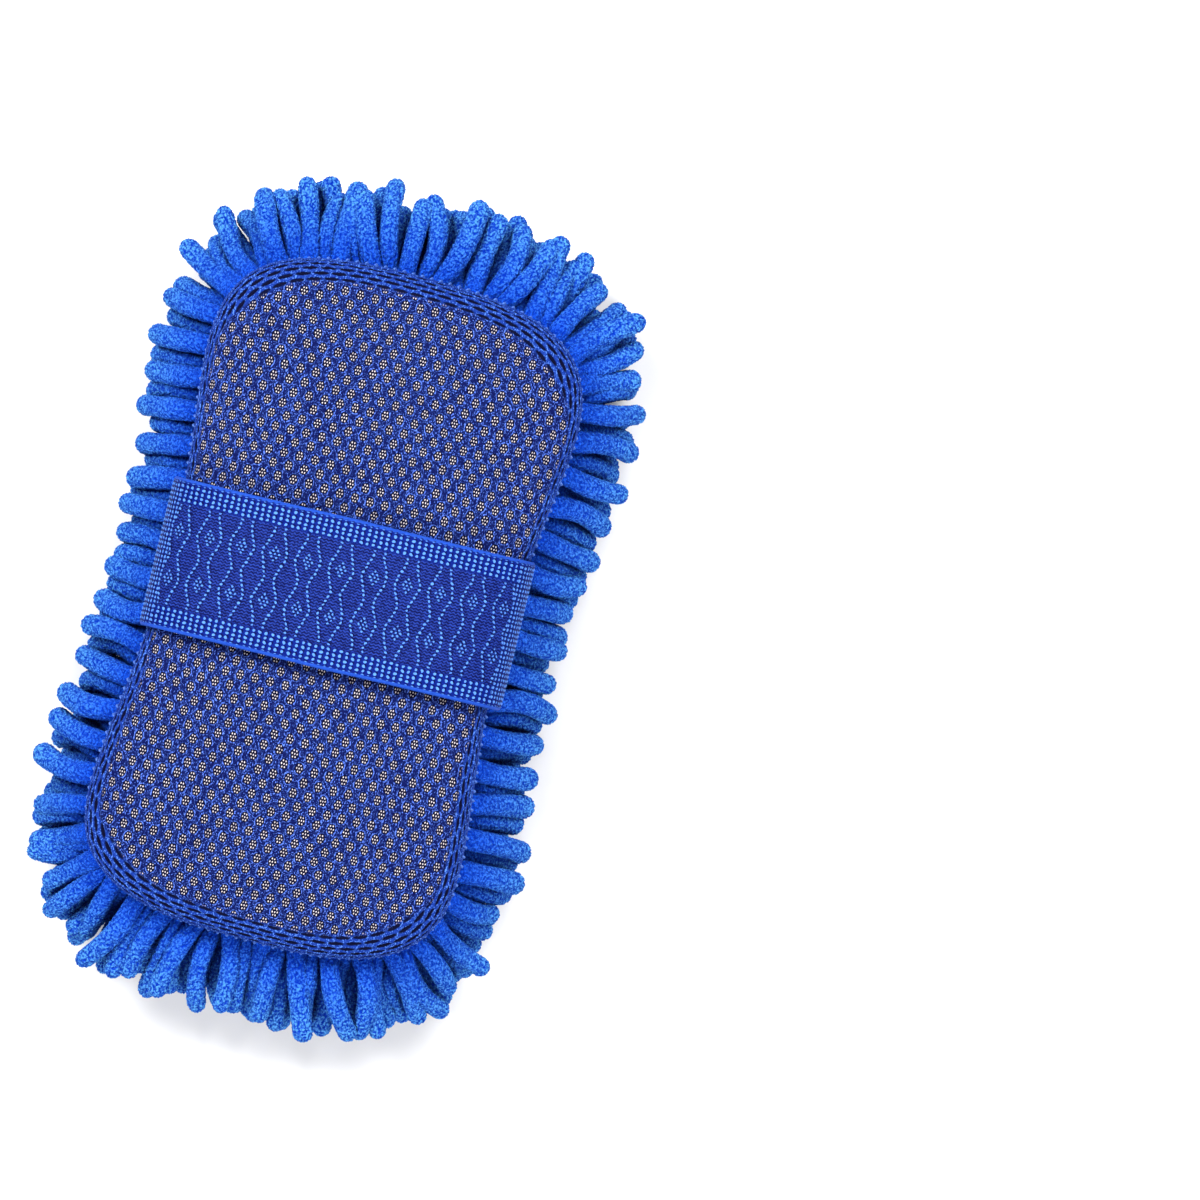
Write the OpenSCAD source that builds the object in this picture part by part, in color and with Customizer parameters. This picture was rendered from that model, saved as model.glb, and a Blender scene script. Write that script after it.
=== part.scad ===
// Wash mitt. A foam pad is sewn between a mesh back and a cover of chenille pile, and an elastic
// strap over the mesh holds the hand. X runs along the mitt, Y across it with the strap, and Z out
// of the mesh. The mitt lies on its pile, so Z = 0 is the surface that it rests on.

/* [Pad] */
// Length of the padded body, without the pile
pad_l = 224; // [200:1:240]
// Width of the padded body at its waist, under the strap
waist_w = 112.5; // [100:0.5:116]
// How much wider the body grows towards its ends, as a share of the waist
flare = 0.37; // [0.1:0.01:0.45]
// Squareness of the outline along the mitt: 2 is an ellipse
end_power = 5; // [4:0.5:6]
// Squareness of the outline across the mitt: 2 is an ellipse
corner_power = 2.7; // [2.2:0.1:3.5]
// Depth of the body below its seam
low_h = 34; // [33:1:40]
// Height of the mesh back above the seam
crown_h = 15; // [12:1:20]
// How far in from the outline the mesh back curves over
crown_reach = 50; // [40:1:55]
// Squareness of the crown's profile
crown_power = 3.4; // [2.5:0.1:4]
// How far in from the wall the lower edge curves under
low_reach = 18; // [14:1:20]
// Squareness of the lower edge's profile
low_power = 3; // [2:0.1:5]

/* [Covers] */
// Overhang of the mesh back beyond the wall of the pile cover
lip = 4; // [3.5:0.1:5]
// Depth of the mesh's hem below the widest part of the back
hem = 2; // [1:0.5:2.5]
// Thickness of the mesh fabric
mesh_t = 1.2; // [0.8:0.1:2]
// Thickness of the knit ground that carries the pile
ground_t = 2; // [1.5:0.1:3]
// Clearance between a cover and the foam
foam_gap = 0.3; // [0.1:0.1:0.6]
// Depth of the rolled seam's centre below the widest part of the back
seam_drop = 2.4; // [2.4:0.1:3]

/* [Strap] */
// Width of the elastic strap, along the mitt
strap_w = 50; // [38:1:54]
// Thickness of the elastic
strap_t = 1.8; // [1.2:0.1:2.2]
// Place of the strap's centre line along the mitt
strap_x = 5; // [0:1:10]
// Turn of the strap from square across the mitt
strap_turn = 1.4; // [0:0.1:2]
// Free height between the mesh and the strap at rest
strap_gap = 6.5; // [5:0.5:12]
// Half the length of the middle of the strap, which lifts over the hand
strap_mid = 30; // [26:1:34]
// Distance from the strap's ends to the waist, outside the mesh
strap_out = 3; // [3:0.1:3.5]

/* [Chenille fingers] */
// Radius of a finger
finger_r = 3.6; // [3:0.1:3.7]
// Length of a finger's axis between the centres of its round ends, on the front
finger_l = 27; // [22:1:30]
// Length of the same axis on the walls
fringe_l = 27; // [22:1:27]
// Distance of a root's centre from the knit ground: under the radius, so that it is held
root_gap = 3.1; // [2.8:0.1:3.4]
// Slope of the front fingers from the ground
front_lean = 33; // [30:1:40]
// Distance between two rows on the front
row_pitch = 11.5; // [11.5:0.5:14]
// Distance between two fingers of a row on the front
finger_pitch = 10; // [9:0.5:12]
// Turn of the front fingers outwards, in degrees for each millimetre off the middle
front_fan = 0.2; // [0.1:0.05:0.2]
// Place of the parting from which the front fingers lie both ways
parting_x = 76; // [74:1:77]
// Width of the bare ground along the parting
parting_w = 11; // [9:1:12]
// Fingers in each of the upper rings around the walls
fringe_count = 60; // [48:4:60]
// Fingers in the lowest ring
lowest_count = 52; // [44:4:52]
// Distance between two rings, down the walls
ring_pitch = 8; // [7.9:0.1:8]
// Drop of the uppermost ring below the widest part of the back
ring_drop = 8.3; // [8.3:0.1:8.6]
// Slope of the uppermost ring's fingers on the ends
end_droop = 13; // [8:1:20]
// Further slope of each ring below, on the ends
droop_step = 5; // [4:0.5:6]
// Slope of the fingers on the long sides
side_droop = 47; // [40:1:47]

/* [Hidden] */
$fn = 48;
cloth_blue = [0.10, 0.22, 0.66];
pile_blue = [0.11, 0.27, 0.80];
mesh_blue = [0.22, 0.30, 0.60];
foam_tan = [0.82, 0.74, 0.58];

half_l = pad_l / 2;
ground_z = root_gap + finger_l * sin(front_lean) + finger_r;
seam_z = ground_z + low_h;

outline_step = 0.5;  // degrees between the points that the outline is measured on
outline_n = 72;      // points of an outline in a solid
turn_share = 0.16;   // millimetres that each degree of turn counts for in spacing points
low_angles = [90, 72, 54, 36, 18, 0];
crown_angles = [0, 12, 26, 42, 58, 74, 90];
seam_r = lip / 2 + 0.2;
seam_sides = 8;

ring_count = 4;
front_edge = 20;     // the front rows stop this far inside the outline
front_rows = 15;     // rows from the parting to the far end
near_rows = 2;       // rows from the parting to the near end
rest_every = 4;      // every fourth front row holds two of the tufts that the mitt rests on
rest_column = 3;     // and those stand this many places off the middle
edge_places = [2, 8]; // counted from an end's middle, the tufts of each quarter that meet a wall

// Outline of the padded body, moved in by inset, with t in degrees around it
function power_of(v, p) = sign(v) * pow(abs(v), 2 / p);
function along(t, inset) = (half_l - inset) * power_of(cos(t), end_power);
function widening(x) = 1 + flare * pow(x / half_l, 2);
function outline_at(t, inset) = let (x = along(t, inset))
    [x, (waist_w / 2 * widening(x) - inset) * power_of(sin(t), corner_power)];
function half_width(x) = waist_w / 2 * widening(x)
    * pow(1 - pow(abs(x) / half_l, end_power), 1 / corner_power);

// The way walked along a line of points, in which turns count as well as distance
function course(p, i) = atan2(p[i][1] - p[i - 1][1], p[i][0] - p[i - 1][0]);
function turn(p, i) = i < 2 ? 0 : abs((course(p, i) - course(p, i - 1) + 540) % 360 - 180);
function stride(p, i) = norm(p[i] - p[i - 1]) + turn_share * turn(p, i);
function walked(p) = [for (i = 0, s = 0; i < len(p); i = i + 1,
    s = s + (i < len(p) ? stride(p, i) : 0)) s];

// count points around the outline, closer at its corners and shifted by a share of the spacing
function even_outline(inset, count, shift = 0) = let (
    p = [for (t = [0 : outline_step : 360]) outline_at(t, inset)],
    w = walked(p),
    pitch = w[len(w) - 1] / count,
    x_at = [for (i = [0 : len(p) - 1]) [w[i], p[i][0]]],
    y_at = [for (i = [0 : len(p) - 1]) [w[i], p[i][1]]])
    [for (i = [0 : count - 1]) let (s = (i + shift) * pitch) [lookup(s, x_at), lookup(s, y_at)]];

// Profile of the body as [inset, z], for a skin that lies depth inside the outer one
function low_ring(a, depth) = [lip + depth + low_reach * (1 - power_of(cos(a), low_power)),
    seam_z - (low_h - depth) * power_of(sin(a), low_power)];
function crown_ring(a, depth) = [depth + crown_reach * (1 - power_of(cos(a), crown_power)),
    seam_z + (crown_h - depth) * power_of(sin(a), crown_power)];
function low_rings(depth) = [for (a = low_angles) low_ring(a, depth)];
function crown_rings(depth) = [for (a = crown_angles) crown_ring(a, depth)];
function backwards(rings) = [for (i = [len(rings) - 1 : -1 : 0]) rings[i]];

// A closed skin through rings of [inset, z]; a looped one joins its last ring to its first
module skin(rings, looped = false) {
    n = outline_n;
    last = len(rings) - 1;
    points = [for (r = rings) each [for (p = even_outline(r[0], n)) [p[0], p[1], r[1]]]];
    walls = [for (k = [0 : looped ? last : last - 1], i = [0 : n - 1])
        let (up = (k + 1) % (last + 1), j = (i + 1) % n)
        each [[k * n + i, up * n + i, up * n + j], [k * n + i, up * n + j, k * n + j]]];
    ends = looped ? [] : [[for (i = [0 : n - 1]) i], [for (i = [n - 1 : -1 : 0]) last * n + i]];
    polyhedron(points, concat(walls, ends));
}

// ---- Pad and covers ----

module foam_core() {
    rings = concat(low_rings(ground_t + foam_gap), crown_rings(mesh_t + foam_gap));
    color(foam_tan) skin(rings);
}

module back_mesh() {
    edge = [[mesh_t, seam_z - hem], [0, seam_z - hem]];
    color(mesh_blue) skin(concat(backwards(crown_rings(mesh_t)), edge, crown_rings(0)));
}

module pile_ground() {
    rim = [[lip, seam_z - foam_gap], [lip + ground_t, seam_z - foam_gap]];
    outer = [for (a = low_angles) if (a > 0) low_ring(a, 0)];
    inner = [for (a = low_angles) if (a > 0) low_ring(a, ground_t)];
    color(cloth_blue) skin(concat(outer, rim, backwards(inner)));
}

module edge_seam() {
    rings = [for (k = [0 : seam_sides - 1]) let (a = 360 * k / seam_sides)
        [lip / 2 - seam_r * cos(a), seam_z - seam_drop + seam_r * sin(a)]];
    color(cloth_blue) skin(rings, looped = true);
}

// ---- Strap ----

strap_half = waist_w / 2 + strap_out;
strap_h = crown_h + strap_gap + strap_t / 2;
strap_split = acos(pow(strap_mid / strap_half, crown_power / 2));
strap_joint = 0.25;  // degrees left open between the middle of the strap and each leg
leg_end = -1.8;      // where each leg ends in the seam, in degrees of its profile

// A stretch of the strap's arch, from one angle of its profile to another
module strap_stretch(from, to, steps) {
    side = function (out) [for (i = [0 : steps]) let (a = from + (to - from) * i / steps)
        [(strap_half + out) * power_of(cos(a), crown_power),
         (strap_h + out) * power_of(sin(a), crown_power)]];
    arch = concat(side(strap_t / 2), backwards(side(-strap_t / 2)));
    color(cloth_blue) translate([strap_x, 0, seam_z]) rotate([90, 0, 90 + strap_turn])
        linear_extrude(strap_w, center = true) polygon(arch);
}

module strap_middle() {
    strap_stretch(strap_split + strap_joint, 180 - strap_split - strap_joint, 12);
}

module strap_leg_left() {
    strap_stretch(leg_end, strap_split - strap_joint, 14);
}

module strap_leg_right() {
    strap_stretch(180 - leg_end, 180 - strap_split + strap_joint, 14);
}

// ---- Chenille fingers ----

// One finger from its root's centre, with its compass heading, its slope down and its length
module finger(root, heading, droop, reach) {
    translate(root) rotate([0, 90 + droop, heading]) {
        cylinder(h = reach, r = finger_r);
        sphere(finger_r);
        translate([0, 0, reach]) sphere(finger_r);
    }
}

function wall_inset(z) = lip + low_reach
    * (1 - pow(1 - pow((seam_z - z) / low_h, low_power), 1 / low_power));

// Fingers in a ring, and a finger's place in its quarter, counted from the middle of an end
function ring_size(ring) = ring == ring_count ? lowest_count : fringe_count;
function from_end(i) = let (quarter = fringe_count / 4, k = i % quarter)
    floor(i / quarter) % 2 == 0 ? k : quarter - 1 - k;
function meets_edge(ring, i) = ring == 1 && len(search(from_end(i), edge_places)) > 0;

// Rings around the walls are counted from 1, down from the seam
module ring_fingers(ring, at_edge) {
    z = seam_z - ring_drop - (ring - 1) * ring_pitch;
    size = ring_size(ring);
    roots = even_outline(wall_inset(z) - root_gap, size, ring % 2 / 2);
    for (i = [0 : size - 1])
        if (meets_edge(ring, i) == at_edge) {
            before = roots[(i + size - 1) % size];
            after = roots[(i + 1) % size];
            heading = atan2(before[0] - after[0], after[1] - before[1]);
            at_end = end_droop + (ring - 1) * droop_step;
            droop = side_droop + (at_end - side_droop) * pow(cos(heading), 2);
            finger([roots[i][0], roots[i][1], z], heading, droop, fringe_l);
        }
}

module fringe_ring(ring) {
    color(pile_blue) ring_fingers(ring, false);
}

module edge_tufts() {
    color(pile_blue) ring_fingers(1, true);
}

// Front rows are counted from the parting: side is -1 for those that lie along the mitt from it,
// and 1 for the few that lie the other way, over the near end
function row_x(side, row) = parting_x + side * (parting_w / 2 + (row - 1) * row_pitch);
function stagger(row) = row % 2 / 2;
function columns(side, row) = let (reach = half_width(row_x(side, row)) - front_edge,
    most = floor(reach / finger_pitch - stagger(row)))
    [for (i = [-most - 2 * stagger(row) : most]) i + stagger(row)];
function rests(side, row, column) = abs(column) == rest_column
    && (side < 0 ? row % rest_every == 2 : row == 2);

module front_fingers(side, row, resting) {
    for (column = columns(side, row))
        if (rests(side, row, column) == resting) {
            y = column * finger_pitch;
            heading = side > 0 ? front_fan * y : 180 - front_fan * y;
            finger([row_x(side, row), y, ground_z - root_gap], heading, front_lean, finger_l);
        }
}

module front_row(row) {
    color(pile_blue) front_fingers(-1, row, false);
}

module near_row(row) {
    color(pile_blue) front_fingers(1, row, false);
}

module rest_tufts() {
    color(pile_blue) {
        for (row = [1 : front_rows]) front_fingers(-1, row, true);
        for (row = [1 : near_rows]) front_fingers(1, row, true);
    }
}

foam_core();
back_mesh();
pile_ground();
edge_seam();
strap_middle();
strap_leg_left();
strap_leg_right();
rest_tufts();
edge_tufts();
for (i = [1 : ring_count]) fringe_ring(i);
for (i = [1 : near_rows]) near_row(i);
for (i = [1 : front_rows]) front_row(i);
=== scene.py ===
"""Looks of a wash mitt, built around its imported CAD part: chenille fingers, a mesh back over a foam
pad, an overlocked seam and a woven elastic strap. Lengths are in metres unless a name says mm."""

import math

import bpy
import numpy as np
from mathutils import Matrix, Vector
from mathutils.kdtree import KDTree


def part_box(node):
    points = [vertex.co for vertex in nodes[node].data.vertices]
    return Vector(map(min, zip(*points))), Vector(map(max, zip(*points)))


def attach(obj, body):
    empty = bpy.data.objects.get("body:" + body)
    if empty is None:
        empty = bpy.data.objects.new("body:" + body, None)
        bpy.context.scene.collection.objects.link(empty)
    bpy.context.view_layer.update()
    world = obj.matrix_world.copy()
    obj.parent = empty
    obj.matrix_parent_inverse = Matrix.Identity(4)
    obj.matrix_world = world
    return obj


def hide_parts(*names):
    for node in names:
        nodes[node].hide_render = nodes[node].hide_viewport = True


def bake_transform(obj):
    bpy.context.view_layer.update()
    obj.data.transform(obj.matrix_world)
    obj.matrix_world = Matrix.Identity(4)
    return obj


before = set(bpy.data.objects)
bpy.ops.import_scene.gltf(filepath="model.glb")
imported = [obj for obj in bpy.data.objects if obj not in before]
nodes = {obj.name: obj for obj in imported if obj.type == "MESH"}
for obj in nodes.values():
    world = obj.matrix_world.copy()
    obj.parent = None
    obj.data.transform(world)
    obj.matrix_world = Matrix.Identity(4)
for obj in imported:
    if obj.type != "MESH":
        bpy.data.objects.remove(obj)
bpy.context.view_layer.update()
MM = 0.001

# ---- Driving dimensions, as in the CAD source ----

WAIST = 56.25 * MM          # half the width of the body under the strap
FLARE = 0.37
END_POWER, CORNER_POWER = 5.0, 2.7
CROWN_REACH, CROWN_POWER = 50 * MM, 3.4
LOW_REACH, LOW_POWER = 18 * MM, 3.0
LIP = 4 * MM
HEM = 2 * MM
SEAM_DROP = 2.4 * MM
SEAM_R = 2.2 * MM
STRAP_T = 1.8 * MM
STRAP_W = 50 * MM
STRAP_TURN = math.radians(1.4)
FINGER_R = 3.6 * MM

HALF_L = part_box("back_mesh")[1].x
SEAM_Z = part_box("back_mesh")[0].z + HEM
MESH_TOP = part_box("back_mesh")[1].z
GROUND_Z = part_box("pile_ground")[0].z
STRAP_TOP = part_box("strap_middle")[1].z
STRAP_X = (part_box("strap_middle")[0].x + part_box("strap_middle")[1].x) / 2
STRAP_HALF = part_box("strap_leg_left")[1].y - STRAP_T / 2


# ---- Shapes that are worked out point by point, for numbers and for shader wires alike ----

class Wire:
    """A number that a shader works out, so that a pattern is written once for mesh and material."""

    def __init__(self, tree, socket):
        self.tree, self.socket = tree, socket

    def op(self, name, *others):
        node = self.tree.nodes.new("ShaderNodeMath")
        node.operation = name
        for slot_in, value in zip(node.inputs, (self, *others)):
            join(self.tree, value, slot_in)
        return Wire(self.tree, node.outputs[0])

    def __add__(self, other):
        return self.op("ADD", other)

    def __sub__(self, other):
        return self.op("SUBTRACT", other)

    def __mul__(self, other):
        return self.op("MULTIPLY", other)

    def __truediv__(self, other):
        return self.op("DIVIDE", other)

    __radd__, __rmul__ = __add__, __mul__

    def __rsub__(self, other):
        return (self * -1.0) + other


def join(tree, value, slot_in):
    """Feeds a wire, or sets a constant."""
    if isinstance(value, Wire):
        tree.links.new(value.socket, slot_in)
    else:
        slot_in.default_value = value


def rounded(x):
    return x.op("ROUND") if isinstance(x, Wire) else np.round(x)


def size_of(x):
    return x.op("ABSOLUTE") if isinstance(x, Wire) else np.abs(x)


def root_of(x):
    return x.op("SQRT") if isinstance(x, Wire) else np.sqrt(x)


def remainder(x, step):
    return x.op("FLOORED_MODULO", step) if isinstance(x, Wire) else np.mod(x, step)


def sine(x):
    return x.op("SINE") if isinstance(x, Wire) else np.sin(x)


def uneven(x, y, most):
    """x moved by up to about most, as yarn lies, a little differently from place to place."""
    return x + (sine(x * 1.9 + y * 2.7) + sine(x * 0.8 - y * 1.1)) * (most / 2)


def larger(x, y):
    return x.op("MAXIMUM", y) if isinstance(x, Wire) else np.maximum(x, y)


def ease(x, start, end):
    """0 before start and 1 after end, smoothly; start may be the larger."""
    if not isinstance(x, Wire):
        t = np.clip((x - start) / (end - start), 0, 1)
        return t * t * (3 - 2 * t)
    node = x.tree.nodes.new("ShaderNodeMapRange")
    node.interpolation_type = "SMOOTHSTEP"
    join(x.tree, x, node.inputs["Value"])
    node.inputs["From Min"].default_value = start
    node.inputs["From Max"].default_value = end
    return Wire(x.tree, node.outputs["Result"])


def off_centre(x, pitch, shift=0.0):
    """Signed distance to the nearest of the places that lie a pitch apart."""
    turns = x / pitch - shift
    return (turns - rounded(turns)) * pitch


def spot(x, y, half_x, half_y):
    """Distance from the middle of an oval, 1 on its edge."""
    a, b = x / half_x, y / half_y
    return root_of(a * a + b * b)


# The mesh back: clusters of seven holes in staggered rows, all in millimetres of flat fabric
ROW_MM, CLUSTER_MM = 4.05, 5.05         # from row to row, and from cluster to cluster in a row
HOLE_ROW_MM, HOLE_MM = 1.02, 0.82       # the same for the holes of a cluster
HOLE_HALF_MM, CLUSTER_HALF_MM = (0.265, 0.17), (1.5, 1.12)
SLOT_ROW_MM, SLOT_MM, SLOT_HALF_MM = 2.0, 6.4, (2.7, 0.55)
MESH_UNEVEN_MM = 0.09


def cluster_offsets(x, y):
    """How far a point lies from the middle of its cluster, down the rows and along them."""
    row = rounded(x / ROW_MM)
    return x - row * ROW_MM, off_centre(y, CLUSTER_MM, remainder(row, 2.0) * 0.5)


def mesh_holes(x, y):
    """(how much of a hole, of the dip around the holes that the material paints near black as shadow,
    of the loops around that), 0 to 1.
    """
    x, y = uneven(x, y, MESH_UNEVEN_MM), uneven(y, x, MESH_UNEVEN_MM)
    dx, dy = cluster_offsets(x, y)
    row = rounded(dx / HOLE_ROW_MM)
    across = off_centre(dy, HOLE_MM, remainder(row, 2.0) * 0.5)
    hole = spot(dx - row * HOLE_ROW_MM, across, *HOLE_HALF_MM)
    reach = spot(dx, dy, *CLUSTER_HALF_MM)
    ring = ease(reach, 1.15, 1.3) * ease(reach, 1.7, 1.5)
    return ease(hole, 1.3, 0.8) * ease(reach, 1.08, 0.98), ease(reach, 1.3, 1.05), ring


def rim_slots(along, depth):
    """How much of a slot: the mesh is drawn out into rows of slots where it turns over the rim."""
    row = rounded(depth / SLOT_ROW_MM)
    across = depth - row * SLOT_ROW_MM
    length = off_centre(along, SLOT_MM, remainder(row, 2.0) * 0.5)
    return ease(spot(length, across, *SLOT_HALF_MM), 1.25, 0.8)


def rim_share(x, depth):
    """How much the mesh is drawn out into slots: furthest in at the ends of the mitt."""
    end = larger(ease(size_of(x), 76.0, 96.0), ease(x, -22.0, -40.0) * 0.4)
    return ease(depth - end * 5.0, 2.6, 0.8)


# The strap's pattern, in millimetres along it and across it
LATTICE_MM, LATTICE_HIGH_MM = 10.9, 15.8
LINE_NEAR_MM, LINE_SWELL_MM, LINE_HALF_MM = 1.65, 2.35, (0.42, 0.42)
DIAMOND_HALF_MM = (2.2, 3.2)
DIAMOND_ROW_MM, DIAMOND_BEAD_MM, DIAMOND_BEAD_HALF_MM = 1.1, 1.4, (0.36, 0.36)
BEAD_ROW_MM = 1.5
BAND_BEAD_MM, BAND_BEAD_HALF_MM = 2.05, (0.52, 0.5)
END_BEAD_MM, END_BEAD_HALF_MM = 1.7, (0.5, 0.5)
BAND_IN_MM, BAND_OUT_MM = 17.6, 23.9
END_GRID_MM = 16.0


def strap_beads(along, across, from_end):
    """How much of a bright bead, 0 to 1."""
    along, across = uneven(along, across, 0.2), uneven(across, along, 0.16)
    row_off = off_centre(across, BEAD_ROW_MM)
    edge = size_of(across)
    inside = ease(edge, BAND_OUT_MM, BAND_OUT_MM - 0.2)
    band = ease(edge, BAND_IN_MM - 0.1, BAND_IN_MM + 0.1) * inside
    bead = spot(off_centre(along, BAND_BEAD_MM), row_off, *BAND_BEAD_HALF_MM)
    band_bead = ease(bead, 1.2, 0.75) * band

    open_part = ease(edge, BAND_IN_MM - 0.8, BAND_IN_MM - 1.1)
    turns = remainder(across, LATTICE_HIGH_MM)
    wave = 1.0 - size_of(turns / (LATTICE_HIGH_MM / 2) - 1.0)
    swell = (ease(wave, 0.0, 1.0) + wave) * 0.5
    dx, dy = off_centre(along, LATTICE_MM), turns - LATTICE_HIGH_MM / 2
    line = spot(size_of(dx) - LINE_NEAR_MM - swell * LINE_SWELL_MM, row_off, *LINE_HALF_MM)
    line = ease(line, 1.2, 0.75) * open_part

    row = rounded(dy / DIAMOND_ROW_MM)
    inner_bead = spot(off_centre(dx, DIAMOND_BEAD_MM, remainder(row, 2.0) * 0.5),
                      dy - row * DIAMOND_ROW_MM, *DIAMOND_BEAD_HALF_MM)
    diamond = size_of(dx) / DIAMOND_HALF_MM[0] + size_of(dy) / DIAMOND_HALF_MM[1]
    inner_bead = ease(inner_bead, 1.3, 0.6) * ease(diamond, 1.05, 0.95) * open_part

    end = ease(from_end, END_GRID_MM + 0.5, END_GRID_MM) * inside
    end_bead = spot(off_centre(along, END_BEAD_MM), row_off, *END_BEAD_HALF_MM)
    end_bead = ease(end_bead, 1.3, 0.6) * end
    pattern = larger(larger(band_bead, line), inner_bead)
    return larger(pattern * (1.0 - end), end_bead)


# ---- Small tools ----

def add_mesh(name, points, faces, material, smooth=True):
    """A piece with that one material; every face has the same number of corners."""
    mesh = bpy.data.meshes.new(name)
    faces = np.asarray(faces)
    count, corners = faces.shape
    mesh.vertices.add(len(points))
    mesh.vertices.foreach_set("co", np.asarray(points, np.float32).ravel())
    mesh.loops.add(count * corners)
    mesh.loops.foreach_set("vertex_index", faces.ravel().astype(np.int32))
    mesh.polygons.add(count)
    mesh.polygons.foreach_set("loop_start", (np.arange(count) * corners).astype(np.int32))
    mesh.polygons.foreach_set("loop_total", np.full(count, corners, np.int32))
    mesh.update(calc_edges=True)
    mesh.validate(clean_customdata=False)
    mesh.polygons.foreach_set("use_smooth", np.full(len(mesh.polygons), smooth))
    mesh.materials.append(material)
    piece = bpy.data.objects.new(name, mesh)
    bpy.context.scene.collection.objects.link(piece)
    return piece


def points_of(mesh):
    points = np.zeros(len(mesh.vertices) * 3, np.float32)
    mesh.vertices.foreach_get("co", points)
    return points.reshape(-1, 3).astype(float)


def add_values(piece, name, values, kind="FLOAT", domain="POINT"):
    """Stores a value per point, or per corner, for the material to read."""
    held = piece.data.attributes.new(name, kind, domain)
    field = "vector" if kind == "FLOAT_VECTOR" else "value"
    held.data.foreach_set(field, np.asarray(values, np.float32).ravel())


def strip_faces(rows, columns):
    """Quads between rows of points, each row's last point joined to its first."""
    k = np.arange(rows - 1)[:, None]
    i = np.arange(columns)[None, :]
    j = (i + 1) % columns
    quad = [k * columns + i, k * columns + j, (k + 1) * columns + j, (k + 1) * columns + i]
    return np.stack([np.broadcast_to(q, (rows - 1, columns)) for q in quad], -1).reshape(-1, 4)


def walk_along(x, y):
    """How far it is along a line of points to each one."""
    return np.concatenate([[0], np.cumsum(np.hypot(np.diff(x), np.diff(y)))])


def unit(v):
    return v / np.maximum(np.linalg.norm(v, axis=-1, keepdims=True), 1e-12)


def waves(x, y, seed, longest, count=7):
    """Smooth random unevenness of about -1 to 1, from a few sine waves of that length or less."""
    rng = np.random.default_rng(seed)
    total = np.zeros_like(x)
    for _ in range(count):
        way = rng.uniform(0, math.tau)
        length = longest * rng.uniform(0.45, 1)
        phase = rng.uniform(0, math.tau)
        total += np.sin((x * math.cos(way) + y * math.sin(way)) * math.tau / length + phase)
    return total / math.sqrt(count) / 1.4


# ---- Outline of the padded body ----

def power_of(v, p):
    return np.sign(v) * np.abs(v) ** (2 / p)


def half_width(x):
    return WAIST * (1 + FLARE * (x / HALF_L) ** 2)


def outline_at(t, inset):
    x = (HALF_L - inset) * power_of(np.cos(t), END_POWER)
    return x, (half_width(x) - inset) * power_of(np.sin(t), CORNER_POWER)


def inset_of(x, y):
    """How far inside the outline each point lies, and less than 0 outside it, by halving."""
    low, high = np.full(x.shape, -60 * MM), np.full(x.shape, WAIST * 0.995)
    for _ in range(26):
        middle = (low + high) / 2
        inside = (np.abs(x) / np.maximum(HALF_L - middle, 1e-6)) ** END_POWER + (
            np.abs(y) / np.maximum(half_width(x) - middle, 1e-6)) ** CORNER_POWER < 1
        low, high = np.where(inside, middle, low), np.where(inside, high, middle)
    return (low + high) / 2


def even_outline(inset, count):
    """(points at even distances around the outline, its length)"""
    t = np.linspace(0, math.tau, 2881)
    x, y = outline_at(t, inset)
    walked = walk_along(x, y)
    at = np.interp(np.arange(count) * walked[-1] / count, walked, t)
    return np.stack(outline_at(at, inset), -1), walked[-1]


def crown_profile():
    """(inset, z) of the mesh back from its flat middle out to the hem."""
    a = np.radians(np.linspace(90, 0, 240))
    inset = CROWN_REACH * (1 - np.cos(a) ** (2 / CROWN_POWER))
    z = SEAM_Z + (MESH_TOP - SEAM_Z) * np.sin(a) ** (2 / CROWN_POWER)
    return np.append(inset, 0), np.append(z, SEAM_Z - HEM)


def low_profile():
    """(inset, z) of the pile's knit ground from its flat front up to the seam."""
    a = np.radians(np.linspace(90, 0, 200))
    inset = LIP + LOW_REACH * (1 - np.cos(a) ** (2 / LOW_POWER))
    return inset, SEAM_Z - (SEAM_Z - GROUND_Z) * np.sin(a) ** (2 / LOW_POWER)


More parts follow.
